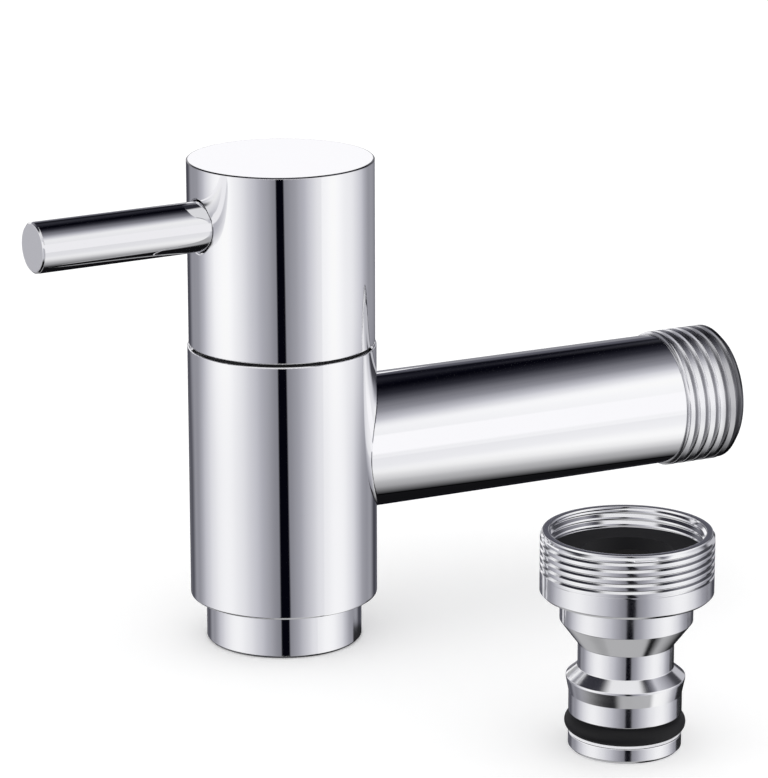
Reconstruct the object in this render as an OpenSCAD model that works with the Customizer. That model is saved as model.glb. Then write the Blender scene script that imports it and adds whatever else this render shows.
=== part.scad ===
// Single-lever garden tap with a quarter-turn ceramic cartridge, and its hose adapter.
// The origin is on the body's axis in the plane of the outlet rim. +Z is up and +Y is the wall.
// The tap is drawn closed: the lever points away from the wall, and a quarter turn opens it.

/* [Outlet] */
// How far the ring below the body lies back from the outlet thread's diameter
ring_inset = 0.4; // [0.1:0.05:0.6]
// Height of that ring, from its rim to the body
ring_h = 6.8; // [5:0.2:9]
// Chamfer round the rim
ring_chamfer = 0.3; // [0.1:0.05:0.6]
// Wall of the body outside the outlet thread
outlet_wall = 1.95; // [1.6:0.05:2.2]
// Length of the outlet thread inside the body
outlet_thread_l = 7.6; // [7:0.2:9]
// Thickness of the washer above the aerator
outlet_washer_t = 2; // [1.5:0.1:2.5]
// Gap round that washer, inside the outlet thread
outlet_washer_gap = 0.5; // [0.2:0.1:1]
// Wall of the aerator's housing
aerator_wall = 2; // [1.7:0.1:2.3]
// Width of the lip that holds the aerator's inner pieces
aerator_lip_w = 0.9; // [0.6:0.1:1.4]
// Thickness of that lip
aerator_lip_t = 1; // [0.6:0.1:1.5]
// Thickness of the honeycomb
grid_t = 2.4; // [1.5:0.1:3]
// Solid rim round the honeycomb's cells
grid_rim = 1.4; // [1:0.1:2]
// Wall between two cells
grid_wall = 0.3; // [0.25:0.05:0.5]
// Rings of cells round the middle one
grid_rings = 4; // [2:1:4]
// Wall of the mixing cup
core_wall = 1.2; // [0.8:0.1:1.6]
// Thickness of the mixing cup's plate
core_plate_t = 1.2; // [0.8:0.1:1.6]
// Number of jets in the mixing cup's plate
jet_n = 16; // [8:1:20]
// Diameter of each jet
jet_d = 1.1; // [0.7:0.1:1.4]
// Thickness of the strainer
strainer_t = 0.6; // [0.4:0.1:0.8]
// Rise of the strainer's dome
strainer_rise = 1.6; // [1.2:0.1:1.8]
// Number of slots in the strainer
strainer_slots = 16; // [8:1:20]
// Width of each slot
strainer_slot_w = 0.6; // [0.4:0.1:0.8]
// Start of the slots, as a share of the mixing cup's bore
strainer_slot_start = 0.1; // [0.05:0.01:0.15]
// End of the slots, as a share of the mixing cup's bore
strainer_slot_end = 0.42; // [0.35:0.01:0.45]

/* [Body] */
// Diameter of the body
body_d = 27.9; // [27:0.1:32]
// Height of the body, from its lower edge to the seam
body_h = 38.35; // [37:0.05:46]
// Rounding of the body's lower edge
body_edge_r = 0.3; // [0.2:0.1:1.2]
// Chamfer of the body's upper edge
body_top_chamfer = 0.1; // [0.05:0.05:0.5]
// Wall of the chamber that the cartridge stands in
chamber_wall = 3.95; // [3.8:0.05:4.3]
// Thickness of the seat wall under the chamber
seat_t = 2.5; // [2:0.25:4]

/* [Inlet pipe] */
// Diameter of the pipe
pipe_d = 20; // [19:0.25:20.4]
// Height of the pipe's axis above the body's lower edge
pipe_rise = 21.7; // [20:0.2:24]
// Distance from the body's axis to the pipe's end
pipe_reach = 74.1; // [60:0.1:120]
// Wall of the pipe
pipe_wall = 2; // [1.5:0.1:3]
// Step from the pipe down to the spigot that enters the body
spigot_step = 2.2; // [1.8:0.1:3]
// Wall of the spigot
spigot_wall = 1.8; // [1.2:0.1:2.4]
// Thickness of the pipe's floor outside the body
pipe_floor_t = 2.5; // [1.5:0.25:5]
// Step from the pipe up to the crest of the inlet thread
inlet_thread_step = 0.4775; // [0.3:0.0025:0.7]
// Length of the inlet thread
inlet_thread_l = 10.4; // [8:0.1:16]
// Chamfer at the thread's end
inlet_chamfer = 0.5; // [0.4:0.1:1.2]

/* [Handle] */
// How far the handle lies back from the body's surface
handle_inset = 0.2; // [0:0.05:0.5]
// Height of the handle
handle_h = 27.55; // [26:0.05:34]
// Chamfer of the handle's edges
handle_chamfer = 0.15; // [0.1:0.05:0.6]
// Gap between body and handle
seam_gap = 0.35; // [0.3:0.05:1.2]
// How far the glide ring lies back from the handle's surface
glide_setback = 1; // [0.6:0.1:1.4]
// Depth of the groove in the body that the glide ring lies in
glide_groove = 0.6; // [0.3:0.1:1]
// Wall of the handle round its socket
handle_wall = 2; // [1.6:0.1:2.2]
// Depth of that socket
socket_depth = 12; // [11.6:0.1:12.6]

/* [Lever] */
// Diameter of the lever
lever_d = 7.4; // [6:0.2:8.2]
// Distance from the handle's axis to the lever's end
lever_reach = 40; // [30:0.2:60]
// Height of the lever's axis above the handle's lower edge
lever_rise = 18.9; // [17.5:0.05:20.5]
// Angle that the lever stands off the line through the pipe when the tap is closed
lever_turn = 3.5; // [0:0.5:10]
// Chamfer at the lever's end
lever_chamfer = 0.25; // [0.2:0.05:0.8]
// Gap round the lever where it enters the handle
lever_gap = 0.15; // [0.1:0.05:0.8]
// Countersink of that opening
lever_flare = 0.3; // [0.2:0.1:1]
// Depth of the lever's recess in the handle
lever_recess = 4; // [3:0.5:5]
// Step from the lever down to its stud
stud_step = 1.2; // [0.8:0.1:1.6]
// Length of the lever's stud
stud_l = 3; // [2:0.5:3.5]
// Depth of the grub screw's hexagon socket
grub_socket_depth = 1.2; // [0.8:0.1:1.5]
// Wall of the grub screw outside that socket's flats
grub_wall = 1.25; // [1:0.05:1.6]
// Chamfer of the grub screw's point
grub_point_chamfer = 0.5; // [0.3:0.1:0.8]
// Chamfer of the grub screw's socket end
grub_end_chamfer = 0.2; // [0.1:0.1:0.4]
// Play of the grub screw's point in the spindle's groove, above and below
grub_groove_play = 0.5; // [0.3:0.1:0.8]

/* [Cartridge] */
// Wall of the body outside the cartridge's thread
cart_thread_wall = 3.4725; // [3.4:0.0025:3.7]
// Length of the cartridge's thread in the body
cart_thread_l = 8.5; // [7:0.5:9]
// Chamfer at the lower end of that thread
cart_chamfer = 0.4; // [0.2:0.1:0.6]
// Thickness of the seal under the flange
flange_seal_t = 1; // [0.6:0.1:1.2]
// Gap between that seal and the handle's socket
flange_gap = 0.4; // [0.3:0.05:0.6]
// How far the flange lies back from the seal's edge
flange_inset = 0.2; // [0.1:0.05:0.4]
// Thickness of the flange
flange_t = 0.8; // [0.6:0.1:1]
// How far the hexagon's corners lie inside the flange
hex_inset = 0.18; // [0.1:0.01:1]
// Height of the hexagon
hex_h = 4.4; // [3.5:0.1:4.6]
// Wall of the neck above the hexagon
neck_wall = 2.25; // [1.5:0.05:3]
// Height of the neck
neck_h = 3; // [2:0.1:3.2]
// Chamfer of the neck's upper edge
neck_chamfer = 0.3; // [0.2:0.1:0.5]
// Water space between the cage and the chamber
cage_gap = 1.1; // [0.8:0.1:1.3]
// Wall of the cage round the discs
cage_wall = 1; // [0.8:0.1:1.2]
// Number of windows in the cage
window_n = 4; // [2:1:4]
// Width of each window
window_w = 7.5; // [5:0.5:8]
// Height of the seat seal
seat_seal_t = 2.6; // [2:0.1:3]
// Width of the seat seal's ring
seat_seal_w = 2.35; // [1.8:0.05:3]
// How far the seat seal stands out of the cage
seat_seal_proud = 0.9; // [0.5:0.1:1.2]

/* [Discs and spindle] */
// Thickness of the fixed ceramic disc
fixed_disc_t = 3; // [2.5:0.1:3.2]
// Thickness of the moving ceramic disc
moving_disc_t = 3.2; // [2.8:0.1:3.4]
// Angle that each of the two ports takes up
port_angle = 80; // [60:1:86]
// Inner radius of the ports
port_r_in = 2.2; // [1.5:0.1:2.5]
// Rim of the fixed disc outside the ports
port_rim = 1.65; // [1.2:0.05:2.4]
// Width of the fixed disc's two lugs
lug_w = 3; // [2:0.25:4]
// Thickness of the spindle's tang
tang_t = 4; // [3:0.25:4]
// How far the tang's ends lie inside the moving disc
tang_inset = 1.6; // [1:0.1:3]
// Depth of the tang's slot in the moving disc
tang_depth = 1.6; // [1:0.1:2]
// Gap between the spindle's collar and the cage
collar_gap = 1.4; // [0.8:0.1:1.8]
// Step from the collar down to the spindle
collar_step = 2; // [1.8:0.1:2.3]
// Thickness of the spindle's collar
collar_t = 2; // [1.5:0.1:2.4]
// Thickness of the thrust washer
thrust_t = 0.6; // [0.4:0.1:1]
// Thickness of each spindle seal
spindle_seal_t = 1.5; // [1.2:0.1:1.8]
// Spacing of the two spindle seals
spindle_seal_pitch = 4; // [3:0.25:5]
// Play of each spindle seal in its groove, above and below
spindle_seal_play = 0.15; // [0.1:0.05:0.3]
// Thickness of the circlip
circlip_t = 0.8; // [0.6:0.1:1]
// Depth of the circlip's groove
circlip_groove = 0.8; // [0.5:0.1:1]
// How far the circlip stands out of the spindle
circlip_proud = 1.5; // [1:0.1:2]
// Opening in the circlip, as an angle
circlip_gap_angle = 50; // [30:5:80]
// Step from the spindle down to the splines
spline_step = 0.5; // [0.4:0.05:0.7]
// Number of splines
spline_n = 20; // [12:1:24]
// Depth of the splines
spline_depth = 0.5; // [0.3:0.05:0.6]
// Length of the splines in the handle
spline_l = 9.4; // [9:0.1:11]

/* [Hose adapter] */
// Distance of the adapter from the tap's axis, away from the lever's plane
adapter_x = 64; // [40:0.1:90]
// Distance of the adapter from the tap's axis, towards the wall
adapter_y = 22; // [0:0.1:60]
// Diameter of the adapter's collar over its thread
adapter_collar_d = 24; // [23.8:0.05:26]
// Height of the collar
adapter_collar_h = 9; // [7:0.1:10]
// Chamfer of the collar's edges
adapter_chamfer = 0.4; // [0.2:0.05:0.5]
// Wall of the collar
adapter_collar_wall = 1.5; // [1.3:0.1:1.7]
// Depth of the collar's bore
adapter_socket_depth = 4.9; // [4.5:0.1:6.8]
// Step from the collar down to the shoulder under it
shoulder_step = 2.8; // [2.5:0.1:3.5]
// Height of the shoulder's straight part
shoulder_h = 3.7; // [1.5:0.1:4]
// Height of the cone from shoulder to neck
shoulder_cone_h = 3.4; // [2:0.1:5]
// Step from the nipple's shaft down to its neck
nipple_neck_step = 1.2; // [0.7:0.05:1.4]
// Height of the nipple's neck
nipple_neck_h = 3.4; // [3:0.1:7]
// How far the latching ridge stands out of the shaft
ridge_proud = 0.4; // [0.2:0.05:0.6]
// Height of the latching ridge's upper slope
ridge_slope_h = 1.35; // [1:0.05:2]
// Height of the latching ridge's straight part
ridge_h = 0.3; // [0.2:0.1:1.2]
// Height of the taper from the latching ridge down to the shaft
ridge_taper_h = 2; // [0.5:0.1:3]
// Diameter of the nipple's shaft
nipple_d = 15.7; // [15.4:0.1:16]
// Height of the shaft between ridge and seal
nipple_shaft_h = 2.9; // [2:0.1:7]
// Height of the seal's groove
nipple_groove_h = 3; // [2.8:0.1:3.4]
// Depth of the seal's groove
nipple_groove_depth = 2; // [1.8:0.1:2.1]
// Height of the tip below the groove
nipple_tip_h = 2.2; // [1.5:0.1:3]
// Chamfer round the tip
nipple_chamfer = 0.4; // [0.2:0.05:0.6]
// Wall of the nipple's shaft
nipple_wall = 3.15; // [3:0.05:3.6]
// Thickness of the nipple's seal
nipple_seal_t = 2.5; // [2.3:0.1:2.7]
// Depth of the relief groove in the collar's bore, which holds the washer
adapter_relief_depth = 0.5; // [0.3:0.05:0.6]
// Thickness of the washer in the collar
adapter_washer_t = 1.8; // [1.2:0.1:2]
// Width of the washer's ring
adapter_washer_w = 4.45; // [3:0.05:5]

/* [Fits] */
// Clearance on a radius where a piece is seated for good
seat_fit = 0.05; // [0.02:0.01:0.1]
// Clearance on a radius where a piece turns
turn_fit = 0.05; // [0.03:0.01:0.08]
// Clearance between flat faces that slide
face_fit = 0.05; // [0.02:0.01:0.08]
// Clearance round a piece that turns free of its neighbour
free_fit = 0.3; // [0.2:0.05:0.4]

/* [Hidden] */
$fn = 96;

chrome = [0.80, 0.81, 0.85];
brass = [0.80, 0.66, 0.36];
rubber = [0.12, 0.12, 0.13];
nylon = [0.20, 0.20, 0.22];
acetal = [0.90, 0.90, 0.88];
alumina = [0.93, 0.92, 0.90];
steel = [0.66, 0.67, 0.69];

// How far a cut runs past the face that it opens
past = 1;

// Diameters, from the body's surface inwards
outlet_thread_d = body_d - 2 * outlet_wall;
ring_d = outlet_thread_d - 2 * ring_inset;
aerator_bore_d = outlet_thread_d - 2 * aerator_wall;
chamber_d = body_d - 2 * chamber_wall;
cart_thread_d = body_d - 2 * cart_thread_wall;
cage_d = chamber_d - 2 * cage_gap;
cage_bore_d = cage_d - 2 * cage_wall;
seat_seal_d = cage_bore_d - 2 * seat_fit;
seat_hole_d = seat_seal_d - 2 * seat_seal_w;
collar_d = cage_bore_d - 2 * collar_gap;
spindle_d = collar_d - 2 * collar_step;
handle_d = body_d - 2 * handle_inset;
socket_d = handle_d - 2 * handle_wall;
flange_seal_d = socket_d - 2 * flange_gap;
flange_d = flange_seal_d - 2 * flange_inset;
hex_d = flange_d - 2 * hex_inset;

// Diameters of the inlet pipe and the lever
inlet_thread_d = pipe_d + 2 * inlet_thread_step;
pipe_bore_d = pipe_d - 2 * pipe_wall;
spigot_d = pipe_d - 2 * spigot_step;
spigot_bore_d = spigot_d - 2 * spigot_wall;
stud_d = lever_d - 2 * stud_step;

// Heights of the body, from the outlet rim
body_z0 = ring_h;
body_z1 = ring_h + body_h;
outlet_floor_z = body_z0 + outlet_thread_l;
chamber_z0 = outlet_floor_z + seat_t;
chamber_z1 = body_z1 - cart_thread_l;
pipe_z = body_z0 + pipe_rise;

// Aerator, stacked on its lip
aerator_h = outlet_floor_z - outlet_washer_t;
grid_z0 = aerator_lip_t;
core_z0 = grid_z0 + grid_t;
strainer_z0 = aerator_h - strainer_t;
insert_d = aerator_bore_d - 2 * seat_fit;
grid_pitch = (insert_d / 2 - grid_rim) / (grid_rings + 0.5);
cup_bore_d = insert_d - 2 * core_wall;
core_plate_z0 = (core_z0 + strainer_z0 - core_plate_t) / 2;
// The jets stand one jet's diameter inside the cup's wall
jet_circle_r = cup_bore_d / 2 - 1.5 * jet_d;
// The dome springs from the cup's bore, so its sphere follows from bore and rise
dome_half = cup_bore_d / 2;
dome_r = (dome_half * dome_half + strainer_rise * strainer_rise) / (2 * strainer_rise);
dome_centre_z = strainer_z0 + strainer_rise - dome_r;

// Cartridge, from the seat upwards
cage_z0 = chamber_z0 + seat_seal_proud;
fixed_disc_z0 = chamber_z0 + seat_seal_t;
moving_disc_z0 = fixed_disc_z0 + fixed_disc_t + seat_fit / 2;
moving_disc_z1 = moving_disc_z0 + moving_disc_t;
cage_z1 = chamber_z1;
thrust_z0 = cage_z1 - thrust_t - face_fit;
collar_z0 = thrust_z0 - face_fit - collar_t;
window_z0 = moving_disc_z1 + free_fit;
window_z1 = collar_z0 + collar_t / 2;
moving_disc_d = cage_bore_d - 2 * free_fit;
fixed_disc_d = cage_bore_d - 2 * seat_fit;
flange_z0 = body_z1 + flange_seal_t;
hex_z0 = flange_z0 + flange_t;
neck_z0 = hex_z0 + hex_h;
neck_z1 = neck_z0 + neck_h;
housing_thread_d = cart_thread_d - 2 * seat_fit;
flange_seal_bore_d = cart_thread_d + 2 * seat_fit;

// Spindle, through the neck and into the handle
spindle_bore_d = spindle_d + 2 * turn_fit;
neck_d = spindle_bore_d + 2 * neck_wall;
tang_w = moving_disc_d - 2 * tang_inset;
port_r_out = fixed_disc_d / 2 - port_rim;
spline_d = spindle_d - 2 * spline_step;
circlip_d = spindle_d + 2 * circlip_proud;
circlip_z0 = neck_z1 + face_fit;
circlip_z1 = circlip_z0 + circlip_t;
circlip_bore_d = spindle_d - 2 * circlip_groove;
spindle_seal_r = spindle_d / 2 - spindle_seal_t / 2 + turn_fit / 2;
spindle_seal_mid_z = (cage_z1 + neck_z1) / 2;
seal_groove_h = spindle_seal_t + 2 * spindle_seal_play;

// Handle
handle_z0 = body_z1 + seam_gap;
handle_z1 = handle_z0 + handle_h;
handle_r = handle_d / 2;
socket_z1 = handle_z0 + socket_depth;
spline_z0 = circlip_z1 + free_fit;
spline_z1 = socket_z1 + spline_l;
lever_z = handle_z0 + lever_rise;
lever_hole_d = lever_d + 2 * lever_gap;
lever_seat_y = handle_r - lever_recess;
grub_d = stud_d;
grub_socket_d = (grub_d - 2 * grub_wall) / cos(30);
grub_groove_half = grub_d / 2 + grub_groove_play;
grub_groove_d = spline_d - 4 * spline_depth;
glide_t = glide_groove + seam_gap - face_fit;
glide_d = handle_d - 2 * glide_setback;
glide_bore_d = flange_seal_d + 2 * turn_fit;
glide_z0 = body_z1 - glide_groove;

// Diameters of the adapter
adapter_socket_d = adapter_collar_d - 2 * adapter_collar_wall;
adapter_relief_d = adapter_socket_d + 2 * adapter_relief_depth;
adapter_washer_d = adapter_relief_d - 2 * seat_fit;
shoulder_d = adapter_collar_d - 2 * shoulder_step;
nipple_neck_d = nipple_d - 2 * nipple_neck_step;
ridge_d = nipple_d + 2 * ridge_proud;
nipple_bore_d = nipple_d - 2 * nipple_wall;

// Heights of the adapter, from its tip upwards
groove_z0 = nipple_tip_h;
groove_z1 = groove_z0 + nipple_groove_h;
taper_z0 = groove_z1 + nipple_shaft_h;
ridge_z0 = taper_z0 + ridge_taper_h;
ridge_z1 = ridge_z0 + ridge_h;
nipple_neck_z0 = ridge_z1 + ridge_slope_h;
nipple_neck_z1 = nipple_neck_z0 + nipple_neck_h;
shoulder_z0 = nipple_neck_z1 + shoulder_cone_h;
adapter_collar_z0 = shoulder_z0 + shoulder_h;
adapter_h = adapter_collar_z0 + adapter_collar_h;
adapter_socket_z0 = adapter_h - adapter_socket_depth;
adapter_relief_h = adapter_washer_t + 2 * seat_fit;
nipple_groove_r = nipple_d / 2 - nipple_groove_depth;

// A ring or washer standing at height z
module ring(d_out, d_in, z, h) {
    translate([0, 0, z])
        difference() {
            cylinder(d = d_out, h = h);
            translate([0, 0, -past])
                cylinder(d = d_in, h = h + 2 * past);
        }
}

// A cylinder standing at height z
module post(d, z, h) {
    translate([0, 0, z])
        cylinder(d = d, h = h);
}

// Children drawn along +Z, laid along +Y from the point y on an axis at height z
module towards_wall(y, z) {
    translate([0, y, z])
        rotate([-90, 0, 0])
            children();
}

// The same, laid along the lever, which points away from the wall
module along_lever(y) {
    rotate([0, 0, lever_turn])
        translate([0, -y, lever_z])
            rotate([90, 0, 0])
                children();
}

// A turned cylinder with a chamfer at each end, either of which may be zero
module turned(d, z, h, low, high) {
    r = d / 2;
    translate([0, 0, z])
        rotate_extrude()
            polygon([
                [0, 0], [r - low, 0], [r, low],
                [r, h - high], [r - high, h], [0, h]
            ]);
}

// A ring of round section
module o_ring(mid_r, section_d, z) {
    translate([0, 0, z])
        rotate_extrude()
            translate([mid_r, 0])
                circle(d = section_d);
}

// Outline of a splined shaft: flat-topped teeth with sloping flanks
function polar(r, a) = [r * cos(a), r * sin(a)];
function spline_points(d, depth, n) = [
    for (i = [0 : n - 1], step = [[0.10, 0], [0.40, 0], [0.60, 1], [0.90, 1]])
        polar(d / 2 - depth * step[1], (i + step[0]) * 360 / n)
];

// Two opposite ports of a ceramic disc, centred on the direction a
module disc_ports(a, z, h) {
    for (side = [0, 180])
        translate([0, 0, z])
            rotate([0, 0, a + side - port_angle / 2])
                rotate_extrude(angle = port_angle)
                    translate([port_r_in, 0])
                        square([port_r_out - port_r_in, h]);
}

// Everything bored out of the body: outlet thread, seat hole, chamber and cartridge thread
module body_bores() {
    post(outlet_thread_d, body_z0 - past, outlet_thread_l + past);
    post(seat_hole_d, outlet_floor_z - past, seat_t + 2 * past);
    post(chamber_d, chamber_z0, chamber_z1 - chamber_z0);
    post(cart_thread_d, chamber_z1, cart_thread_l + past);
}

// The body, with its lower edge rounded and its upper edge broken
module body_blank() {
    r = body_d / 2;
    translate([0, 0, body_z0])
        rotate_extrude()
            difference() {
                polygon([
                    [0, 0], [r, 0], [r, body_h - body_top_chamfer],
                    [r - body_top_chamfer, body_h], [0, body_h]
                ]);
                difference() {
                    translate([r - body_edge_r, -past])
                        square([body_edge_r + past, body_edge_r + past]);
                    translate([r - body_edge_r, body_edge_r])
                        circle(r = body_edge_r);
                }
            }
}

module valve_body() {
    color(chrome)
        difference() {
            body_blank();
            body_bores();
            towards_wall(0, pipe_z)
                cylinder(d = spigot_d + 2 * seat_fit, h = body_d);
            ring(glide_d + 2 * seat_fit, glide_bore_d - 2 * seat_fit, glide_z0, glide_groove + past);
        }
}

// The pipe's end is coped to the body, and its spigot runs through the body's wall
module inlet_pipe() {
    thread_y = pipe_reach - inlet_thread_l;
    color(chrome)
        difference() {
            union() {
                difference() {
                    towards_wall(0, pipe_z)
                        cylinder(d = pipe_d, h = thread_y + inlet_thread_step);
                    post(body_d + 2 * seat_fit, body_z0, body_h);
                }
                towards_wall(0, pipe_z)
                    cylinder(d = spigot_d, h = body_d / 2 + pipe_floor_t);
                towards_wall(thread_y, pipe_z)
                    turned(inlet_thread_d, 0, inlet_thread_l, inlet_thread_step, inlet_chamfer);
            }
            body_bores();
            translate([0, -body_d / 2, pipe_z])
                cube([body_d, body_d, 2 * body_d], center = true);
            towards_wall(0, pipe_z)
                cylinder(d = spigot_bore_d, h = body_d);
            towards_wall(body_d / 2 + pipe_floor_t, pipe_z)
                cylinder(d = pipe_bore_d, h = pipe_reach);
        }
}

// Ring in the body's top that the handle turns on, seen as the dark line in the seam
module glide_ring() {
    color(nylon)
        ring(glide_d, glide_bore_d, glide_z0, glide_t);
}

module aerator_housing() {
    color(chrome)
        difference() {
            union() {
                turned(ring_d, 0, ring_h + past / 2, ring_chamfer, 0);
                turned(outlet_thread_d - 2 * seat_fit, body_z0, aerator_h - body_z0, 0, ring_chamfer);
            }
            post(aerator_bore_d, aerator_lip_t, aerator_h);
            post(aerator_bore_d - 2 * aerator_lip_w, -past, aerator_lip_t + 2 * past);
        }
}

// Honeycomb that straightens the jet: rings of hexagonal cells round a middle one
module aerator_grid() {
    cell_d = (grid_pitch - grid_wall) / cos(30);
    color(acetal)
        difference() {
            post(insert_d, grid_z0, grid_t);
            for (q = [-grid_rings : grid_rings], r = [-grid_rings : grid_rings])
                if (abs(q + r) <= grid_rings)
                    translate([
                        grid_pitch * (q + r / 2),
                        grid_pitch * r * sin(60),
                        grid_z0 - past
                    ])
                        rotate([0, 0, 30])
                            cylinder(d = cell_d, h = grid_t + 2 * past, $fn = 6);
        }
}

// Mixing cup: a plate with jets across a tube
module aerator_core() {
    color(acetal)
        difference() {
            union() {
                ring(insert_d, cup_bore_d, core_z0, strainer_z0 - core_z0);
                post(insert_d - core_wall, core_plate_z0, core_plate_t);
            }
            for (i = [0 : jet_n - 1])
                rotate([0, 0, i * 360 / jet_n])
                    translate([jet_circle_r, 0, core_plate_z0 - past])
                        cylinder(d = jet_d, h = core_plate_t + 2 * past);
        }
}

// Domed strainer with radial slots, clamped under the washer
module aerator_strainer() {
    slot_in = cup_bore_d * strainer_slot_start;
    slot_out = cup_bore_d * strainer_slot_end;
    color(steel)
        difference() {
            union() {
                ring(insert_d, cup_bore_d, strainer_z0, strainer_t);
                translate([0, 0, dome_centre_z])
                    rotate_extrude()
                        intersection() {
                            difference() {
                                circle(r = dome_r);
                                circle(r = dome_r - strainer_t);
                            }
                            translate([0, dome_r - strainer_rise])
                                square([dome_half, strainer_rise + past]);
                        }
            }
            for (i = [0 : strainer_slots - 1])
                rotate([0, 0, i * 360 / strainer_slots])
                    translate([i % 2 == 0 ? slot_in : slot_in * 2, -strainer_slot_w / 2, strainer_z0 - past])
                        cube([
                            slot_out - (i % 2 == 0 ? slot_in : slot_in * 2),
                            strainer_slot_w,
                            strainer_rise + 2 * past
                        ]);
        }
}

module aerator_washer() {
    color(rubber)
        ring(outlet_thread_d - 2 * outlet_washer_gap, cup_bore_d, aerator_h, outlet_washer_t);
}

// Brass cartridge: cage with windows, thread, flange, hexagon and neck
module cartridge_housing() {
    color(brass)
        difference() {
            union() {
                post(cage_d, cage_z0, cage_z1 - cage_z0 + past);
                turned(housing_thread_d, cage_z1, flange_z0 - cage_z1 + past / 2, cart_chamfer, 0);
                post(flange_d, flange_z0, flange_t);
                post(hex_d, hex_z0, hex_h, $fn = 6);
                turned(neck_d, neck_z0, neck_h, 0, neck_chamfer);
            }
            post(cage_bore_d, cage_z0 - past, cage_z1 - cage_z0 + past);
            post(spindle_bore_d, cage_z0, neck_z1 - cage_z0 + past);
            for (i = [0 : window_n - 1])
                rotate([0, 0, i * 360 / window_n])
                    translate([0, -window_w / 2, window_z0])
                        cube([cage_d, window_w, window_z1 - window_z0]);
            for (side = [0, 180])
                rotate([0, 0, side])
                    translate([0, -lug_w / 2 - seat_fit, cage_z0 - past])
                        cube([
                            cage_d,
                            lug_w + 2 * seat_fit,
                            fixed_disc_z0 + fixed_disc_t - cage_z0 + past
                        ]);
        }
}

module cartridge_flange_seal() {
    color(rubber)
        ring(flange_seal_d, flange_seal_bore_d, body_z1, flange_seal_t);
}

module seat_seal() {
    color(rubber)
        ring(seat_seal_d, seat_hole_d, chamber_z0, seat_seal_t);
}

// Lower ceramic disc, keyed into the cage by two lugs
module fixed_disc() {
    color(alumina)
        difference() {
            union() {
                post(fixed_disc_d, fixed_disc_z0, fixed_disc_t);
                intersection() {
                    post(cage_d, fixed_disc_z0, fixed_disc_t - seat_fit);
                    translate([-cage_d, -lug_w / 2, fixed_disc_z0])
                        cube([2 * cage_d, lug_w, fixed_disc_t]);
                }
            }
            disc_ports(90, fixed_disc_z0 - past, fixed_disc_t + 2 * past);
        }
}

// Socket over the cartridge, splined bore for the spindle, and the lever's hole
module handle_shell() {
    color(chrome)
        difference() {
            turned(handle_d, handle_z0, handle_h, handle_chamfer, handle_chamfer);
            post(socket_d, handle_z0 - past, socket_depth + past);
            translate([0, 0, socket_z1 - past])
                linear_extrude(height = spline_l + seat_fit + past)
                    polygon(spline_points(spline_d + 2 * seat_fit, spline_depth, spline_n));
            along_lever(lever_seat_y)
                cylinder(d = lever_hole_d, h = lever_recess + past);
            along_lever(handle_r - lever_flare)
                cylinder(d1 = lever_hole_d, d2 = lever_hole_d + 2 * (lever_flare + past), h = lever_flare + past);
            along_lever(0)
                cylinder(d = stud_d + 2 * seat_fit, h = lever_seat_y + past);
        }
}

// Plain rod whose shoulder seats in the handle, with a stud behind it
module lever() {
    color(chrome)
        union() {
            along_lever(lever_seat_y)
                turned(lever_d, 0, lever_reach - lever_seat_y, 0, lever_chamfer);
            along_lever(lever_seat_y - stud_l)
                cylinder(d = stud_d, h = stud_l + past);
        }
}

// Grub screw behind the lever's stud, holding the handle on the spindle
module grub_screw() {
    grub_y0 = grub_groove_d / 2 + seat_fit;
    grub_y1 = lever_seat_y - stud_l - seat_fit;
    color(steel)
        difference() {
            along_lever(grub_y0)
                turned(grub_d, 0, grub_y1 - grub_y0, grub_point_chamfer, grub_end_chamfer);
            along_lever(grub_y1 - grub_socket_depth)
                cylinder(d = grub_socket_d, h = grub_socket_depth + past, $fn = 6);
        }
}

// Tang, collar, shaft with two seal grooves, circlip groove and splined head
module spindle() {
    shaft_z0 = collar_z0 + collar_t;
    color(brass)
        difference() {
            union() {
                intersection() {
                    translate([-tang_t / 2, -tang_w / 2, moving_disc_z1 - tang_depth + face_fit])
                        cube([tang_t, tang_w, collar_z0 - moving_disc_z1 + tang_depth + collar_t / 2]);
                    post(collar_d, 0, handle_z1);
                }
                post(collar_d, collar_z0, collar_t);
                post(spindle_d, shaft_z0 - collar_t / 2, spline_z0 - shaft_z0 + collar_t / 2);
                translate([0, 0, spline_z0 - face_fit])
                    linear_extrude(height = spline_z1 - spline_z0 + face_fit)
                        polygon(spline_points(spline_d, spline_depth, spline_n));
            }
            for (side = [-1, 1])
                ring(
                    spindle_d + past,
                    2 * spindle_seal_r - spindle_seal_t,
                    spindle_seal_mid_z + side * spindle_seal_pitch / 2 - seal_groove_h / 2,
                    seal_groove_h
                );
            ring(
                spindle_d + past,
                circlip_bore_d - 2 * seat_fit,
                circlip_z0 - face_fit,
                circlip_t + 2 * face_fit
            );
            ring(spline_d + past, grub_groove_d, lever_z - grub_groove_half, 2 * grub_groove_half);
        }
}

module spindle_seals() {
    color(rubber)
        for (side = [-1, 1])
            o_ring(spindle_seal_r, spindle_seal_t, spindle_seal_mid_z + side * spindle_seal_pitch / 2);
}

module thrust_washer() {
    color(acetal)
        ring(collar_d, spindle_d + 2 * turn_fit, thrust_z0, thrust_t);
}

module circlip() {
    color(steel)
        translate([0, 0, circlip_z0])
            rotate([0, 0, 90 + circlip_gap_angle / 2])
                rotate_extrude(angle = 360 - circlip_gap_angle)
                    translate([circlip_bore_d / 2, 0])
                        square([(circlip_d - circlip_bore_d) / 2, circlip_t]);
}

// Upper ceramic disc, a quarter turn off the fixed one while the tap is closed
module moving_disc() {
    color(alumina)
        difference() {
            post(moving_disc_d, moving_disc_z0, moving_disc_t);
            disc_ports(0, moving_disc_z0 - past, moving_disc_t + 2 * past);
            translate([
                -tang_t / 2 - turn_fit,
                -tang_w / 2 - turn_fit,
                moving_disc_z1 - tang_depth
            ])
                cube([tang_t + 2 * turn_fit, tang_w + 2 * turn_fit, tang_depth + past]);
        }
}

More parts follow.
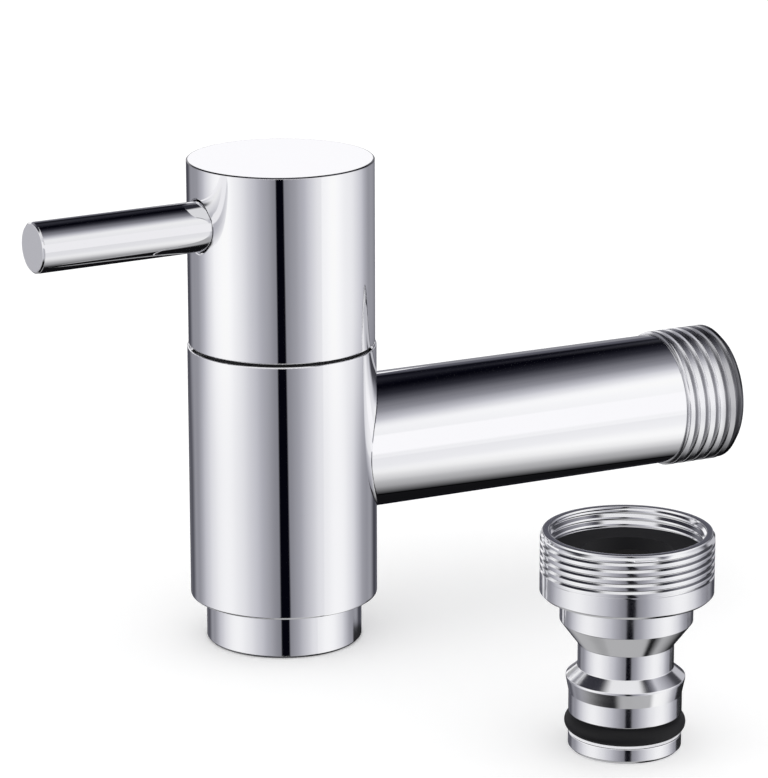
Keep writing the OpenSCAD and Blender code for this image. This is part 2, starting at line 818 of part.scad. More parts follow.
// Places the hose adapter's pieces where it stands beside the tap
module beside_tap() {
    translate([adapter_x, adapter_y, 0])
        children();
}

// Threaded collar above, hose nipple with its latching ridge and seal groove below
module adapter_body() {
    collar_r = adapter_collar_d / 2;
    nipple_r = nipple_d / 2;
    ridge_r = ridge_d / 2;
    neck_r = nipple_neck_d / 2;
    shoulder_r = shoulder_d / 2;
    color(chrome)
        beside_tap()
            difference() {
                rotate_extrude()
                    polygon([
                        [0, 0], [nipple_r - nipple_chamfer, 0], [nipple_r, nipple_chamfer],
                        [nipple_r, groove_z0], [nipple_groove_r, groove_z0],
                        [nipple_groove_r, groove_z1], [nipple_r, groove_z1],
                        [nipple_r, taper_z0], [ridge_r, ridge_z0],
                        [ridge_r, ridge_z1], [neck_r, nipple_neck_z0], [neck_r, nipple_neck_z1],
                        [shoulder_r, shoulder_z0], [shoulder_r, adapter_collar_z0],
                        [collar_r - adapter_chamfer, adapter_collar_z0],
                        [collar_r, adapter_collar_z0 + adapter_chamfer],
                        [collar_r, adapter_h - adapter_chamfer],
                        [collar_r - adapter_chamfer, adapter_h], [0, adapter_h]
                    ]);
                post(adapter_socket_d, adapter_socket_z0, adapter_socket_depth + past);
                post(adapter_relief_d, adapter_socket_z0, adapter_relief_h);
                post(nipple_bore_d, -past, adapter_h);
            }
}

module adapter_washer() {
    color(rubber)
        beside_tap()
            ring(
                adapter_washer_d,
                adapter_washer_d - 2 * adapter_washer_w,
                adapter_socket_z0,
                adapter_washer_t
            );
}

module adapter_seal() {
    color(rubber)
        beside_tap()
            o_ring(
                nipple_groove_r + nipple_seal_t / 2 + seat_fit,
                nipple_seal_t,
                (groove_z0 + groove_z1) / 2
            );
}

valve_body();
inlet_pipe();
glide_ring();
aerator_housing();
aerator_grid();
aerator_core();
aerator_strainer();
aerator_washer();
cartridge_housing();
cartridge_flange_seal();
seat_seal();
fixed_disc();
handle_shell();
lever();
grub_screw();
spindle();
spindle_seals();
thrust_washer();
circlip();
moving_disc();
adapter_body();
adapter_washer();
adapter_seal();
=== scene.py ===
import math
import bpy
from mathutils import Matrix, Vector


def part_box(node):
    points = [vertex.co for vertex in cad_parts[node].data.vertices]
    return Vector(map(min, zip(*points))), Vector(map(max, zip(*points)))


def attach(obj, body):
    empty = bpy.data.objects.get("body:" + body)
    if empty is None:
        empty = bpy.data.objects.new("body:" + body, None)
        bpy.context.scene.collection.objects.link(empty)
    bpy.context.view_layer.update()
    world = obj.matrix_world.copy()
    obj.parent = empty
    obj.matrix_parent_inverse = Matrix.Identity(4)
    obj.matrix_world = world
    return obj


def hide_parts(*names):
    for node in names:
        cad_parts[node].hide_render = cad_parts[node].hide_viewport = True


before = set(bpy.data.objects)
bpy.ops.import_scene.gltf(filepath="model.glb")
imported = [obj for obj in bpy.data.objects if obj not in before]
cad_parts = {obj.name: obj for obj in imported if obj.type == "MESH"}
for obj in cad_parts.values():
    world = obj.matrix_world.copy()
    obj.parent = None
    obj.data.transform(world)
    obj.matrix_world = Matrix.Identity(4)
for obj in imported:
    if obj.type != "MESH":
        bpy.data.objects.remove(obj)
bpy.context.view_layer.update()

from types import SimpleNamespace

import bmesh
import bpy
from mathutils import Quaternion, Vector

MM = 0.001

# Camera, from a fit of the tap's edges in the photograph
CAMERA_AZIMUTH = 63.404
CAMERA_ELEVATION = 15.603
CAMERA_DISTANCE = 582.4 * MM
CAMERA_TARGET = Vector((7.17, 13.22, 38.22)) * MM
CAMERA_LENS = 182.4
CAMERA_ROLL = -0.094
CAMERA_CLIP = 10 * MM
SENSOR = 36.0

# The frame's own places, in metres
HANDLE_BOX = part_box("handle_shell")
RING_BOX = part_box("aerator_housing")
LEVER_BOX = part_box("lever")
BODY_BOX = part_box("valve_body")
PIPE_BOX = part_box("inlet_pipe")
ADAPTER_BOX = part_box("adapter_body")
WASHER_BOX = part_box("adapter_washer")

# Sizes that the boxes don't give, as in the part's source
SEAT_FIT = 0.05 * MM
LEVER_TURN = math.radians(3.5)
RING_R = 11.6 * MM
PIPE_R = 10.0 * MM
PIPE_BORE_R = 8.0 * MM
PIPE_FLOOR_T = 2.5 * MM
INLET_THREAD_L = 10.4 * MM
NIPPLE_BORE_R = 4.7 * MM
NIPPLE_R = 7.85 * MM
GROOVE_R = 5.85 * MM
RIDGE_R = 8.25 * MM
NECK_R = 6.65 * MM
SHOULDER_R = 9.2 * MM
SOCKET_R = 10.5 * MM
ADAPTER_CHAMFER = 0.4 * MM
RIM = 0.3 * MM
# Heights above the adapter's tip
GROOVE_Z = (2.2 * MM, 5.2 * MM)
SHAFT_TOP = 8.1 * MM
RIDGE_Z = (10.1 * MM, 10.4 * MM)
NECK_Z = (11.75 * MM, 15.15 * MM)
CONE_TOP = 18.55 * MM
COLLAR_Z = 22.25 * MM

# Threads, which the source has as plain cylinders
INLET_PITCH = 1.814 * MM
INLET_DEPTH = 0.6 * MM
INLET_CREST_FLAT = 0.95 * MM
INLET_ROOT_FLAT = 0.1 * MM
INLET_EDGE = 0.12 * MM
INLET_STEP = 0.08 * MM
INLET_END_STEP = 0.8 * MM
INLET_END_EDGE = 0.25 * MM
INLET_PHASE = -0.05
INLET_RUN_IN = 0.55 * MM
ADAPTER_PITCH = 1.0 * MM
COLLAR_THREAD_L = 6.0 * MM
COLLAR_DEPTH = 0.4 * MM
COLLAR_FORM = (0.52 * MM, 0.06 * MM, 0.04 * MM)      # crest flat, root flat and edge
SOCKET_FORM = (0.26 * MM, 0.08 * MM, 0.05 * MM)
# How steeply the adapter's threads run out, as radius over height
RUN_OUT = 1.2
RIM_RUN_OUT = 0.9
# How far the adapter's corners are rounded
ADAPTER_EDGE = 0.12 * MM
RIM_EDGE = 0.08 * MM

# Meshes: steps round an axis, and narrow steps beside long faces, which keep their shading straight
SEGMENTS = 192
PIPE_GUARD = 0.12 * MM
ADAPTER_GUARD = 0.05 * MM
LONG_STRETCH = 6            # in guards
SHARP_ANGLE = 28.0
# Distances under which vertices are welded and places count as the same
WELD = 1e-7
SNAP = 1e-9
# Rounded corners: an arc's steps, its largest share of a stretch, and what counts as straight
ARC_STEPS = 4
ARC_SHARE = 0.45
STRAIGHT = math.radians(89)
# Turns of a thread beyond both its ends together
EXTRA_TURNS = 3


# Shader nodes

NOISE_MIDDLE = (0.3, 0.7)


def new_material(name):
    material = bpy.data.materials.new(name)
    material.use_nodes = True
    tree = material.node_tree
    return material, tree, tree.nodes["Principled BSDF"]


def set_inputs(node, **values):
    for key, value in values.items():
        node.inputs[key.replace("_", " ")].default_value = value


def math_node(tree, operation, a, b=None):
    node = tree.nodes.new("ShaderNodeMath")
    node.operation = operation
    for socket, value in zip(node.inputs, (a, b)):
        if isinstance(value, (int, float)):
            socket.default_value = value
        elif value is not None:
            tree.links.new(value, socket)
    return node.outputs[0]


def product(tree, first, *others):
    for other in others:
        first = math_node(tree, "MULTIPLY", first, other)
    return first


def larger(tree, a, b):
    return math_node(tree, "MAXIMUM", a, b)


def smaller(tree, a, b):
    return math_node(tree, "MINIMUM", a, b)


def smooth_step(tree, value, start, end):
    """0 up to start and 1 from end on, with a soft change between them. start may be the higher."""
    node = tree.nodes.new("ShaderNodeMapRange")
    node.interpolation_type = "SMOOTHSTEP"
    set_inputs(node, From_Min=start, From_Max=end, To_Min=0.0, To_Max=1.0)
    tree.links.new(value, node.inputs["Value"])
    return node.outputs["Result"]


def mix(tree, factor, a, b):
    """A colour from a to b by factor. Both are colours or sockets."""
    node = tree.nodes.new("ShaderNodeMix")
    node.data_type = "RGBA"
    colours = [s for s in node.inputs if s.type == "RGBA"]
    for socket, value in zip(colours, (a, b)):
        if isinstance(value, tuple):
            socket.default_value = (*value, 1)
        else:
            tree.links.new(value, socket)
    tree.links.new(factor, node.inputs[0])
    return next(s for s in node.outputs if s.type == "RGBA")


def object_point(tree, scale=(1, 1, 1)):
    """Object coordinates in millimetres, stretched by scale."""
    coords = tree.nodes.new("ShaderNodeTexCoord")
    mapping = tree.nodes.new("ShaderNodeMapping")
    mapping.inputs["Scale"].default_value = [s / MM for s in scale]
    tree.links.new(coords.outputs["Object"], mapping.inputs["Vector"])
    return mapping.outputs["Vector"]


def object_place(tree):
    """The object's X, Y and Z in millimetres."""
    parts = tree.nodes.new("ShaderNodeSeparateXYZ")
    tree.links.new(object_point(tree), parts.inputs[0])
    return parts.outputs


def distance(tree, place, first, second):
    """Distance in millimetres from an axis. first and second are a direction's name and the axis's
    place along it, in metres."""
    squares = []
    for name, centre in (first, second):
        away = math_node(tree, "SUBTRACT", place[name], centre / MM)
        squares.append(product(tree, away, away))
    return math_node(tree, "SQRT", math_node(tree, "ADD", *squares))


def noise(tree, point, scale, detail):
    node = tree.nodes.new("ShaderNodeTexNoise")
    set_inputs(node, Scale=scale, Detail=detail)
    tree.links.new(point, node.inputs["Vector"])
    return node.outputs["Fac"]


def spread(tree, value, low, high):
    """Maps a noise's middle range onto low to high."""
    node = tree.nodes.new("ShaderNodeMapRange")
    start, end = NOISE_MIDDLE
    set_inputs(node, From_Min=start, From_Max=end, To_Min=low, To_Max=high)
    tree.links.new(value, node.inputs["Value"])
    return node.outputs["Result"]


def bump(tree, height, depth, normal=None):
    node = tree.nodes.new("ShaderNodeBump")
    set_inputs(node, Strength=1.0, Distance=depth)
    tree.links.new(height, node.inputs["Height"])
    if normal is not None:
        tree.links.new(normal, node.inputs["Normal"])
    return node.outputs["Normal"]


# Materials. Noise scales are per millimetre, and the zones' places are in millimetres.

CHROME = (0.955, 0.955, 0.96)
CHROME_DULLER = 0.985
CHROME_ROUGHNESS = (0.022, 0.042)
CHROME_HAZE = (0.12, 0.12, 0.12)
CHROME_WAVES = (0.09, 0.09, 0.05)
CHROME_WAVE_DEPTH = 0.004 * MM
CHROME_ROUNDING = 0.2 * MM
ROUNDING_SAMPLES = 8
LEVER_CHROME = (0.84, 0.84, 0.85)
LEVER_ROUNDING = 0.12 * MM
# The lever's end face, which is turned and not buffed
FACED_BEFORE_END = (0.04, 0.01)
FACED_COLOUR = (0.96, 0.96, 0.965)
FACED_ROUGHNESS = 0.42
# The inlet's thread: its grooves by depth below the crest, which get painted shade, its outside
# down to the end's chamfer, and where painted shade turns it darker towards its end and on its end
# ring
CUT_SOFT = 0.05
CUT_COLOUR = (0.88, 0.88, 0.89)
CUT_ROUGHNESS = 0.18
GROOVE_BELOW_CREST = (0.12, 0.42)
GROOVE_PAINTED_SHADE = (0.56, 0.56, 0.58)
GROOVE_ROUGHNESS = 0.28
OUTSIDE_BELOW_CREST = (0.95, 0.85)
PAINTED_END_SHADE_BEFORE_END = (4.6, 2.8)
PAINTED_END_SHADE_COLOUR = (0.24, 0.24, 0.25)
PAINTED_END_SHADE_SHARE = 0.55
END_RING_BEFORE_END = (1.35, 1.2)
END_RING_PAINTED_SHADE = (0.16, 0.16, 0.17)
# Edges of upright cylinders that get a thin dark line of painted shade, for the dark that their
# rounded edges mirror: radius, height and width
EDGE_LINES = [
    (HANDLE_BOX[1].x / MM, HANDLE_BOX[1].z / MM, 0.18),
    (RING_R / MM, RING_BOX[0].z / MM, 0.34),
]
EDGE_SOFT = 0.04
EDGE_LINE_PAINTED_SHADE = (0.07, 0.07, 0.08)
# The adapter's waterway and its socket's floor, which are painted dark as painted shade for the
# deep bore. The floor's painted shade ends a little under the washer.
SOCKET_FLOOR_R = 6.6 * MM
WATERWAY_PAINTED_SHADE = (0.02, 0.018, 0.014)
WATERWAY_ROUGHNESS = 0.6
WATERWAY_FADE = (0.2, 0.1)
# Turned metal: the texture's radians per unit, uneven patches, how much darker they get, and how
# the rings waver
WAVE_RADIANS = 20.0
TURNED_PATCHES = 0.25
TURNED_DARKER = 0.93
TURNED_WAVER = 0.6
TURNED_WAVER_SCALE = 0.4
# Moulded pieces: the scale and depth of their grain, and the scale of patches that are lighter, by
# a factor and a step, and rougher
MOULD_GRAIN = 3.0
MOULD_GRAIN_DEPTH = 0.004 * MM
MOULD_PATCHES = 0.15
MOULD_LIGHTER = (1.12, 0.002)
MOULD_ROUGHER = 0.12
CERAMIC_GRAIN = 5.0
CERAMIC_GRAIN_DEPTH = 0.0015 * MM
CERAMIC_DARK = (0.84, 0.82, 0.78)
CERAMIC_LIGHT = (0.95, 0.94, 0.92)
CERAMIC_ROUGHNESS = (0.16, 0.26)
FLOOR_COLOUR = (0.96, 0.96, 0.96, 1)
FLOOR_LIFT = 0.16
FLOOR_HALF = 3.0


def polished_chrome(name, zones=None, colour=CHROME, rounding=CHROME_ROUNDING):
    """Bright plate: mirror smooth, with the faint haze and waves that polishing leaves and slightly
    rounded edges. zones adds the piece's own zones to its roughness and colour."""
    material, tree, shader = new_material(name)
    set_inputs(shader, Metallic=1.0)
    haze = noise(tree, object_point(tree, CHROME_HAZE), 1.0, detail=4.0)
    roughness = spread(tree, haze, *CHROME_ROUGHNESS)
    shade = mix(tree, haze, tuple(c * CHROME_DULLER for c in colour), colour)
    if zones:
        roughness, shade = zones(tree, roughness, shade)
    tree.links.new(roughness, shader.inputs["Roughness"])
    tree.links.new(shade, shader.inputs["Base Color"])
    normal = None
    if rounding:
        edges = tree.nodes.new("ShaderNodeBevel")
        edges.samples = ROUNDING_SAMPLES
        set_inputs(edges, Radius=rounding)
        normal = edges.outputs["Normal"]
    waves = noise(tree, object_point(tree, CHROME_WAVES), 1.0, detail=1.0)
    tree.links.new(bump(tree, waves, CHROME_WAVE_DEPTH, normal), shader.inputs["Normal"])
    return material


def edge_shade_zones(tree, roughness, shade):
    place = object_place(tree)
    radius = distance(tree, place, ("X", 0.0), ("Y", 0.0))
    for edge_r, edge_z, width in EDGE_LINES:
        off = math_node(tree, "ABSOLUTE", math_node(tree, "SUBTRACT", place["Z"], edge_z))
        inner = edge_r - width
        line = product(tree, smooth_step(tree, radius, inner - EDGE_SOFT, inner + EDGE_SOFT),
                       smooth_step(tree, off, width + EDGE_SOFT, width - EDGE_SOFT))
        # Painted shade: a thin dark line along the edge
        shade = mix(tree, line, shade, EDGE_LINE_PAINTED_SHADE)
    return roughness, shade


def lever_zones(tree, roughness, shade):
    rod_r = (LEVER_BOX[1].z - LEVER_BOX[0].z) / 2
    reach = (-LEVER_BOX[0].y - rod_r * math.sin(LEVER_TURN)) / math.cos(LEVER_TURN) / MM
    place = object_place(tree)
    along = math_node(tree, "SUBTRACT", product(tree, place["X"], math.sin(LEVER_TURN)),
                      product(tree, place["Y"], math.cos(LEVER_TURN)))
    faced = smooth_step(tree, along, *(reach - before for before in FACED_BEFORE_END))
    roughness = larger(tree, roughness, product(tree, faced, FACED_ROUGHNESS))
    return roughness, mix(tree, faced, shade, FACED_COLOUR)


def thread_zones(tree, roughness, shade):
    end = PIPE_BOX[1].y / MM
    start = end - INLET_THREAD_L / MM
    crest = (PIPE_BOX[1].x - PIPE_BOX[0].x) / 2 / MM
    place = object_place(tree)
    radius = distance(tree, place, ("X", 0.0), ("Z", (PIPE_BOX[0].z + PIPE_BOX[1].z) / 2))

    def near_end(stretch):
        return smooth_step(tree, place["Y"], *(end - before for before in stretch))

    def below_crest(depths):
        return smooth_step(tree, radius, *(crest - depth for depth in depths))

    cut = smooth_step(tree, place["Y"], start - CUT_SOFT, start + CUT_SOFT)
    groove = product(tree, cut, below_crest(GROOVE_BELOW_CREST))
    outside = below_crest(OUTSIDE_BELOW_CREST)
    painted_end_shade = product(tree, outside, near_end(PAINTED_END_SHADE_BEFORE_END), PAINTED_END_SHADE_SHARE)
    end_ring = product(tree, outside, near_end(END_RING_BEFORE_END))
    roughness = larger(tree, roughness, product(tree, cut, CUT_ROUGHNESS))
    roughness = larger(tree, roughness, product(tree, groove, GROOVE_ROUGHNESS))
    # Painted shade: the grooves, the stretch towards the end and the end ring are darkened in the
    # colour
    for zone, colour in ((cut, CUT_COLOUR), (groove, GROOVE_PAINTED_SHADE), (painted_end_shade, PAINTED_END_SHADE_COLOUR),
                         (end_ring, END_RING_PAINTED_SHADE)):
        shade = mix(tree, zone, shade, colour)
    return roughness, shade


def waterway_shade_zones(tree, roughness, shade):
    centre = (ADAPTER_BOX[0] + ADAPTER_BOX[1]) / 2
    place = object_place(tree)
    radius = distance(tree, place, ("X", centre.x), ("Y", centre.y))

    def within(limit):
        return smooth_step(tree, radius, *(limit / MM + beyond for beyond in WATERWAY_FADE))

    seat = WASHER_BOX[0].z / MM
    above_floor = smooth_step(tree, place["Z"], *(seat - below for below in WATERWAY_FADE))
    floor = product(tree, within(SOCKET_FLOOR_R), above_floor)
    dark = larger(tree, within(NIPPLE_BORE_R), floor)
    roughness = larger(tree, roughness, product(tree, dark, WATERWAY_ROUGHNESS))
    # Painted shade over the waterway and the socket's floor
    return roughness, mix(tree, dark, shade, WATERWAY_PAINTED_SHADE)


def turned_metal(name, colour, roughness, step, depth, zones=None):
    """Lathe-turned metal: rings across the axis, 2 pi steps wide in millimetres, and a slightly
    uneven gloss. roughness is its lowest and highest."""
    material, tree, shader = new_material(name)
    set_inputs(shader, Metallic=1.0)
    rings = tree.nodes.new("ShaderNodeTexWave")
    rings.bands_direction = "Z"
    rings.wave_profile = "SIN"
    set_inputs(rings, Scale=1.0 / (step * WAVE_RADIANS), Distortion=TURNED_WAVER, Detail=1.0,
               Detail_Scale=TURNED_WAVER_SCALE)
    tree.links.new(object_point(tree), rings.inputs["Vector"])
    patches = noise(tree, object_point(tree), TURNED_PATCHES, detail=3.0)
    roughness = spread(tree, patches, *roughness)
    shade = mix(tree, patches, tuple(c * TURNED_DARKER for c in colour), colour)
    if zones:
        roughness, shade = zones(tree, roughness, shade)
    tree.links.new(roughness, shader.inputs["Roughness"])
    tree.links.new(shade, shader.inputs["Base Color"])
    tree.links.new(bump(tree, rings.outputs["Fac"], depth), shader.inputs["Normal"])
    return material


def moulded(name, colour, roughness, specular=0.5):
    """Moulded plastic or rubber with a fine grain and slight colour variation."""
    material, tree, shader = new_material(name)
    point = object_point(tree)
    grain = noise(tree, point, MOULD_GRAIN, detail=4.0)
    patches = noise(tree, point, MOULD_PATCHES, detail=2.0)
    factor, step = MOULD_LIGHTER
    light = tuple(c * factor + step for c in colour)
    set_inputs(shader, Specular_IOR_Level=specular)
    tree.links.new(mix(tree, patches, colour, light), shader.inputs["Base Color"])
    rough = spread(tree, patches, roughness, roughness + MOULD_ROUGHER)
    tree.links.new(rough, shader.inputs["Roughness"])
    tree.links.new(bump(tree, grain, MOULD_GRAIN_DEPTH), shader.inputs["Normal"])
    return material


def lapped_ceramic(name):
    material, tree, shader = new_material(name)
    speckle = noise(tree, object_point(tree), CERAMIC_GRAIN, detail=5.0)
    shade = mix(tree, speckle, CERAMIC_DARK, CERAMIC_LIGHT)
    tree.links.new(shade, shader.inputs["Base Color"])
    tree.links.new(spread(tree, speckle, *CERAMIC_ROUGHNESS), shader.inputs["Roughness"])
    tree.links.new(bump(tree, speckle, CERAMIC_GRAIN_DEPTH), shader.inputs["Normal"])
    return material


def stage_floor():
    """Pale floor that shows as white to the camera and keeps the object's shadow."""
    material = bpy.data.materials.new("floor_white")
    material.use_nodes = True
    tree = material.node_tree
    tree.nodes.clear()
    out = tree.nodes.new("ShaderNodeOutputMaterial")
    diffuse = tree.nodes.new("ShaderNodeBsdfDiffuse")
    diffuse.inputs["Color"].default_value = FLOOR_COLOUR
    glow = tree.nodes.new("ShaderNodeEmission")
    rays = tree.nodes.new("ShaderNodeLightPath")
    both = tree.nodes.new("ShaderNodeAddShader")
    lift = product(tree, rays.outputs["Is Camera Ray"], FLOOR_LIFT)
    tree.links.new(lift, glow.inputs["Strength"])
    tree.links.new(diffuse.outputs[0], both.inputs[0])
    tree.links.new(glow.outputs[0], both.inputs[1])
    tree.links.new(both.outputs[0], out.inputs["Surface"])
    return material


# The studio. To the camera and for soft light it is white all round. Only mirrors show its room,
# which is set by the direction that a ray leaves in: "degrees" is the angle from the camera's
# direction, positive to its right, and X, Y and Z are the frame's own.

WHITE = (1.0, 1.0, 1.0)
# Lilac cast of the room's greys, in steps of the screen's 255. It fades over a range of the
# screen's greys that ends a little above white.
CAST = 8.0
FLOOR_CAST = 2.0
CAST_FADE = 0.3
CAST_END = 1.06
# Grey of the room at eye level, by degrees
AROUND = [
    (-180, 0.06), (-166, 0.07), (-152, 0.09), (-143, 0.26), (-130, 0.29), (-119, 0.34),
    (-106, 0.56), (-92, 0.86), (-75, 1.0), (-60, 0.93), (-42, 0.70), (-27, 0.48), (-12, 0.32),
    (0, 0.22), (12, 0.28), (22, 0.38), (33, 0.54), (48, 0.82), (66, 1.0), (84, 0.91),
    (102, 0.79), (120, 0.53), (134, 0.32), (150, 0.30), (164, 0.22), (180, 0.06),
]
# The same lower down, where the right side is darker
AROUND_LOW = [
    (-180, 0.10), (-160, 0.13), (-152, 0.09), (-144, 0.13), (-136, 0.28), (-124, 0.30),
    (-112, 0.49), (-100, 0.68), (-88, 0.84), (-74, 0.93), (-60, 0.87), (-44, 0.71), (-28, 0.50),
    (-14, 0.32), (0, 0.22), (14, 0.28), (26, 0.44), (42, 0.70), (58, 0.88), (72, 0.95),
    (86, 0.86), (100, 0.65), (112, 0.40), (124, 0.29), (138, 0.29), (149, 0.07), (162, 0.10),
    (180, 0.10),
]
LOW_Z = (-0.245, -0.295)
# The dark gap behind the camera: half its width and its soft edge, in degrees. It leans and widens
# with the height below GAP_LEVEL, within the heights of GAP_REACH.
GAP_WIDTH = (3.7, 5.5)
GAP_COLOUR = (0.0015, 0.0015, 0.004)
GAP_CENTRE = 0.1
GAP_LEVEL = -0.21
GAP_REACH = (-0.36, -0.16)
GAP_LEAN = 27.0
GAP_WIDENING = -2.9
# A dark corner at the far right, and a darker stand below it
CORNER_DEGREES = (112.0, 128.0)
CORNER_Z = (-0.195, -0.165)
CORNER_COLOUR = (0.055, 0.055, 0.065)
STAND_DEGREES = (124.0, 129.0)
STAND_Z = (-0.3250, -0.3268)
STAND_COLOUR = (0.02, 0.02, 0.022)
# Far behind the object the room is grey at eye level and black above and below
BEHIND_DEGREES = (168.0, 174.0)
BEHIND_LEVEL = (0.27, 0.27, 0.30)
BEHIND_OFF_LEVEL = (0.10, 0.10, 0.125)
BEHIND_FADE = (0.17, 0.27)
BEHIND_TOP_Z = (0.33, 0.47)
BEHIND_BOTTOM_Z = (-0.325, -0.355)
BEHIND_BLACK = (0.004, 0.004, 0.008)
# Grey overhead, by X, which points to the camera's side. A step from USER_Y towards the user counts
# against it, so that the lever mirrors a darker room than the pipe.
OVERHEAD = [
    (-1.0, 0.03), (-0.86, 0.02), (-0.70, 0.006), (-0.53, 0.002), (-0.36, 0.014), (-0.25, 0.03),
    (-0.15, 0.068), (-0.05, 0.11), (0.06, 0.18), (0.13, 0.215), (0.27, 0.34), (0.43, 0.60),
    (0.56, 0.86), (0.67, 1.0), (1.0, 1.0),
]
# The same underfoot
UNDERFOOT = [
    (-1.0, 0.006), (-0.60, 0.006), (-0.34, 0.008), (-0.27, 0.02), (0.0, 0.30), (0.235, 0.53),
    (0.42, 0.80), (0.57, 0.96), (0.70, 1.0), (1.0, 1.0),
]
USER_Y = 0.474
USER_Y_LIMIT = 0.54
USER_WEIGHT = 4.0
USER_FADE = (0.2, 0.5)
# A pale ceiling above the user's side, a pale floor beside the tap, and both straight up and down
UPRIGHT = (0.925, 0.955)
CEILING_COLOUR = (0.85, 0.85, 0.87)
CEILING_Y = (0.34, 0.16)
CEILING_X = (-0.25, 0.0)
GROUND_COLOUR = (0.45, 0.45, 0.46)
GROUND_WALL_Y = (0.37, 0.27)
GROUND_USER_Y = (-0.3, -0.12)
GROUND_CAMERA_X = (0.42, 0.6)
# Where the room at eye level changes to the one overhead and underfoot, and that one to the other
BAND_EDGE = (0.46, 0.68)
UP_AND_DOWN = (-0.1, 0.1)
# A white sweep just above eye level, which flat tops mirror. At the camera's right it reaches lower
# and then turns grey. It ends far behind, but for a strip that the handle's top mirrors.
SWEEP_COLOUR = (1.0, 0.995, 1.02)
SWEEP_RIGHT_COLOUR = (0.52, 0.52, 0.56)
SWEEP_RIGHT = (96.0, 112.0)
SWEEP_BOTTOM_Z = (-0.02, 0.06)
SWEEP_TOP_Z = (0.36, 0.31)
SWEEP_LOW_LEFT = (20.0, 45.0)
SWEEP_LOW_RIGHT = (105.0, 75.0)
SWEEP_LOW_Z = (-0.2, -0.12)
STRIP_DEGREES = (-176.4, -177.0)
STRIP_BOTTOM_Z = (0.14, 0.17)
STRIP_TOP_Z = (0.28, 0.25)


def screen_to_light(value):
    """A screen's grey from 0 to 1 as light, by the sRGB curve."""
    return value / 12.92 if value <= 0.04045 else ((value + 0.055) / 1.055) ** 2.4


def light_to_screen(value):
    return value * 12.92 if value <= 0.0031308 else 1.055 * value ** (1 / 2.4) - 0.055


def tinted(grey, cast):
    """A grey with the room's lilac cast, which fades out towards white."""
    shown = light_to_screen(grey)
    faded = cast / 255 * min(1.0, (CAST_END - shown) / CAST_FADE)
    return (grey, grey, screen_to_light(shown + faded), 1)


def grey_ramp(tree, value, stops, cast=CAST):
    """A smooth ramp through the stops' greys."""
    low, high = stops[0][0], stops[-1][0]
    place = tree.nodes.new("ShaderNodeMapRange")
    set_inputs(place, From_Min=low, From_Max=high, To_Min=0.0, To_Max=1.0)
    tree.links.new(value, place.inputs["Value"])
    ramp = tree.nodes.new("ShaderNodeValToRGB")
    ramp.color_ramp.interpolation = "CARDINAL"
    elements = ramp.color_ramp.elements
    elements.remove(elements[-1])
    for i, (at, grey) in enumerate(stops):
        where = (at - low) / (high - low)
        element = elements.new(where) if i else elements[0]
        element.position = where
        element.color = tinted(grey, cast)
    tree.links.new(place.outputs["Result"], ramp.inputs["Fac"])
    return ramp.outputs["Color"]


def ray_direction(tree):
    """The parts of a mirrored ray's direction that the room depends on."""
    coords = tree.nodes.new("ShaderNodeTexCoord").outputs["Generated"]
    turned = tree.nodes.new("ShaderNodeVectorRotate")
    turned.rotation_type = "Z_AXIS"
    set_inputs(turned, Angle=math.radians(90.0 - CAMERA_AZIMUTH))
    tree.links.new(coords, turned.inputs["Vector"])
    own = tree.nodes.new("ShaderNodeSeparateXYZ")
    seen = tree.nodes.new("ShaderNodeSeparateXYZ")
    tree.links.new(coords, own.inputs[0])
    tree.links.new(turned.outputs[0], seen.inputs[0])
    angle = math_node(tree, "ARCTAN2", seen.outputs["Y"], seen.outputs["X"])
    degrees = product(tree, angle, 180.0 / math.pi)
    return SimpleNamespace(
        x=own.outputs["X"], y=own.outputs["Y"], z=own.outputs["Z"], degrees=degrees,
        height=math_node(tree, "ABSOLUTE", own.outputs["Z"]),
        away=math_node(tree, "ABSOLUTE", degrees))


def room_around(tree, ray):
    """The room at eye level."""
    room = mix(tree, smooth_step(tree, ray.z, *LOW_Z), grey_ramp(tree, ray.degrees, AROUND),
               grey_ramp(tree, ray.degrees, AROUND_LOW))
    level = smaller(tree, larger(tree, ray.z, GAP_REACH[0]), GAP_REACH[1])
    drop = math_node(tree, "SUBTRACT", level, GAP_LEVEL)
    leaning = math_node(tree, "ADD", ray.degrees, product(tree, drop, GAP_LEAN))
    width = math_node(tree, "ADD", product(tree, drop, GAP_WIDENING), 1.0)
    off = math_node(tree, "ABSOLUTE", math_node(tree, "SUBTRACT", leaning, GAP_CENTRE))
    beside_gap = smooth_step(tree, math_node(tree, "DIVIDE", off, width), *GAP_WIDTH)
    room = mix(tree, beside_gap, GAP_COLOUR, room)
    corner = product(tree, smooth_step(tree, ray.degrees, *CORNER_DEGREES),
                     smooth_step(tree, ray.z, *CORNER_Z))
    room = mix(tree, corner, room, CORNER_COLOUR)
    stand = product(tree, smooth_step(tree, ray.degrees, *STAND_DEGREES),
                    smooth_step(tree, ray.z, *STAND_Z))
    room = mix(tree, stand, room, STAND_COLOUR)
    behind = smooth_step(tree, ray.away, *BEHIND_DEGREES)
    rear = mix(tree, smooth_step(tree, ray.height, *BEHIND_FADE), BEHIND_LEVEL, BEHIND_OFF_LEVEL)
    room = mix(tree, behind, room, rear)
    off_level = larger(tree, smooth_step(tree, ray.z, *BEHIND_TOP_Z),
                       smooth_step(tree, ray.z, *BEHIND_BOTTOM_Z))
    return mix(tree, product(tree, behind, off_level), room, BEHIND_BLACK)


